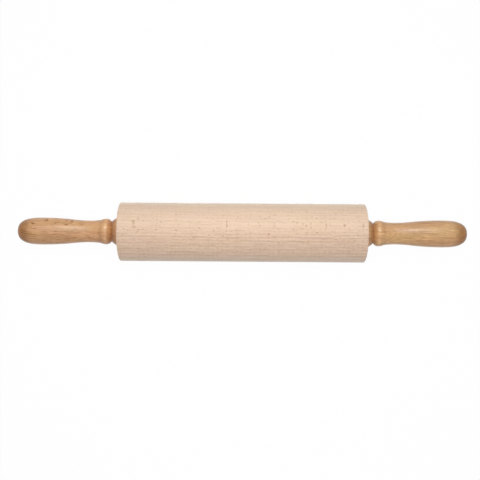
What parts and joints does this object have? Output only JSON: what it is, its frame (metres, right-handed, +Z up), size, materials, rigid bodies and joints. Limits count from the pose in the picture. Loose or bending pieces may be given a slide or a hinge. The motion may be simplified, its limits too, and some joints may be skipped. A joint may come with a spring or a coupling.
{
  "type": "rolling pin",
  "caption": "Rolling pin whose raw beech barrel turns freely on ball bearings, on a steel axle between two turned and lacquered beech handles.",
  "frame": {"origin": "middle of the barrel, on the axle's axis", "axes": "+X along the axle towards the right handle, +Z up, so the pin lies along X"},
  "size_m": [0.46, 0.06, 0.06],
  "materials": {
    "raw_beech": "sanded smooth, no lacquer or oil",
    "lacquered_beech": "clear satin lacquer",
    "axle_steel": "bright drawn",
    "bearing_steel": "ground",
    "sheet_steel": "pressed and zinc plated"
  },
  "bodies": {
    "barrel": {"barrel": "raw_beech", "left_outer_ring": "bearing_steel", "right_outer_ring": "bearing_steel", "left_inner_shield": "sheet_steel", "right_inner_shield": "sheet_steel", "left_outer_shield": "sheet_steel", "right_outer_shield": "sheet_steel"},
    "handles": {"axle": "axle_steel", "left_handle": "lacquered_beech", "right_handle": "lacquered_beech", "left_washer": "sheet_steel", "right_washer": "sheet_steel", "left_inner_ring": "bearing_steel", "right_inner_ring": "bearing_steel"},
    "left_cage": {"left_balls": "bearing_steel", "left_cage_inner_half": "sheet_steel", "left_cage_outer_half": "sheet_steel", "left_cage_rivets": "bearing_steel"},
    "right_cage": {"right_balls": "bearing_steel", "right_cage_inner_half": "sheet_steel", "right_cage_outer_half": "sheet_steel", "right_cage_rivets": "bearing_steel"}
  },
  "joints": [
    {"name": "handles_turn", "type": "hinge", "parent": "barrel", "child": "handles", "pos_m": [0, 0, 0], "axis": [1, 0, 0], "continuous": true},
    {"name": "left_cage_turn", "type": "hinge", "parent": "barrel", "child": "left_cage", "pos_m": [-0.1215, 0, 0], "axis": [1, 0, 0], "continuous": true},
    {"name": "right_cage_turn", "type": "hinge", "parent": "barrel", "child": "right_cage", "pos_m": [0.1215, 0, 0], "axis": [1, 0, 0], "continuous": true}
  ],
  "couplings": [
    {"joint": "left_cage_turn", "follows": "handles_turn", "ratio": 0.3677},
    {"joint": "right_cage_turn", "follows": "handles_turn", "ratio": 0.3677}
  ]
}
